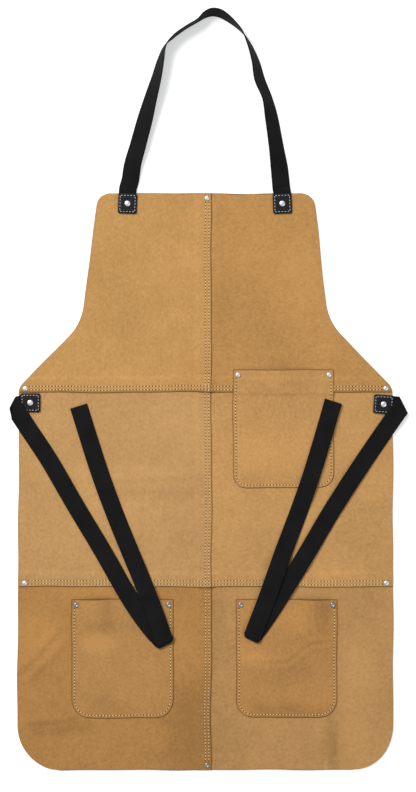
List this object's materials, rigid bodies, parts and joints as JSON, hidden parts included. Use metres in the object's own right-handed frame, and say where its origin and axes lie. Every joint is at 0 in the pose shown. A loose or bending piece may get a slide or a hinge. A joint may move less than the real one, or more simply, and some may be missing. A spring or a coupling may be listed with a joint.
{
  "type": "welding apron",
  "caption": "Full-length split-leather welding apron lying flat, with bib, lapped panels, patch pockets, a webbing neck strap and two folded waist ties.",
  "frame": {"origin": "point on the underside where the centre line crosses the cut edge of the waist seam", "axes": "+X to the right seen from the front, +Y up towards the neck strap, +Z out of the front, away from the surface that it lies on"},
  "size_m": [0.6292, 1.2039, 0.0281],
  "materials": {
    "bib_leather": "matt golden-tan split leather with a short nap",
    "waist_leather": "matt tan split leather, a little paler, with a short nap",
    "skirt_leather": "matt golden-tan split leather with a short nap",
    "pocket_leather": "matt golden-tan split leather with a short nap",
    "black_leather": "black grained leather, satin",
    "webbing": "black flat woven polypropylene webbing, faintly ribbed",
    "rivet_metal": "bright nickel-plated steel"
  },
  "bodies": {
    "apron": {"bib_left": "bib_leather", "bib_right": "bib_leather", "waist_left": "waist_leather", "waist_right": "waist_leather", "skirt_left": "skirt_leather", "skirt_right": "skirt_leather", "chest_pocket": "pocket_leather", "skirt_pocket_left": "pocket_leather", "skirt_pocket_right": "pocket_leather", "neck_patch_left": "black_leather", "neck_patch_right": "black_leather", "waist_patch_left": "black_leather", "waist_patch_right": "black_leather", "neck_strap_end_left": "webbing", "neck_strap_end_right": "webbing", "tie_left_end": "webbing", "tie_right_end": "webbing", "rivet_cap_bib_top": "rivet_metal", "rivet_cap_hem": "rivet_metal", "rivet_cap_waist_seam_left": "rivet_metal", "rivet_cap_waist_seam_right": "rivet_metal", "rivet_cap_skirt_seam_left": "rivet_metal", "rivet_cap_skirt_seam_right": "rivet_metal", "rivet_cap_chest_pocket_left": "rivet_metal", "rivet_cap_chest_pocket_right": "rivet_metal", "rivet_cap_skirt_pocket_left_left": "rivet_metal", "rivet_cap_skirt_pocket_left_right": "rivet_metal", "rivet_cap_skirt_pocket_right_left": "rivet_metal", "rivet_cap_skirt_pocket_right_right": "rivet_metal", "rivet_cap_neck_patch_left": "rivet_metal", "rivet_cap_neck_patch_right": "rivet_metal", "rivet_cap_waist_patch_left": "rivet_metal", "rivet_cap_waist_patch_right": "rivet_metal", "rivet_burr_bib_top": "rivet_metal", "rivet_burr_hem": "rivet_metal", "rivet_burr_waist_seam_left": "rivet_metal", "rivet_burr_waist_seam_right": "rivet_metal", "rivet_burr_skirt_seam_left": "rivet_metal", "rivet_burr_skirt_seam_right": "rivet_metal", "rivet_burr_chest_pocket_left": "rivet_metal", "rivet_burr_chest_pocket_right": "rivet_metal", "rivet_burr_skirt_pocket_left_left": "rivet_metal", "rivet_burr_skirt_pocket_left_right": "rivet_metal", "rivet_burr_skirt_pocket_right_left": "rivet_metal", "rivet_burr_skirt_pocket_right_right": "rivet_metal", "rivet_burr_neck_patch_left": "rivet_metal", "rivet_burr_neck_patch_right": "rivet_metal", "rivet_burr_waist_patch_left": "rivet_metal", "rivet_burr_waist_patch_right": "rivet_metal"},
    "neck_strap": {"neck_strap": "webbing"},
    "left_tie": {"tie_left_run": "webbing"},
    "left_tail": {"tie_left_tail": "webbing"},
    "right_tie": {"tie_right_run": "webbing"},
    "right_tail": {"tie_right_tail": "webbing"}
  },
  "joints": [
    {"name": "neck_strap_lift", "type": "hinge", "parent": "apron", "child": "neck_strap", "pos_m": [0, 0.3155, 0.0056], "axis": [1, 0, 0], "range_deg": [0, 165]},
    {"name": "left_tie_unfold", "type": "hinge", "parent": "apron", "child": "left_tie", "pos_m": [-0.3035, -0.0185, 0.0045], "axis": [-0.458, -0.8889, 0], "range_deg": [0, 176]},
    {"name": "left_tail_unfold", "type": "hinge", "parent": "left_tie", "child": "left_tail", "pos_m": [-0.0637, -0.3996, 0.0059], "axis": [0.8942, 0.4476, 0], "range_deg": [0, 176]},
    {"name": "right_tie_unfold", "type": "hinge", "parent": "apron", "child": "right_tie", "pos_m": [0.3115, -0.0215, 0.0045], "axis": [-0.448, 0.8941, 0], "range_deg": [0, 176]},
    {"name": "right_tail_unfold", "type": "hinge", "parent": "right_tie", "child": "right_tail", "pos_m": [0.0725, -0.391, 0.0059], "axis": [0.8923, -0.4515, 0], "range_deg": [0, 176]}
  ]
}
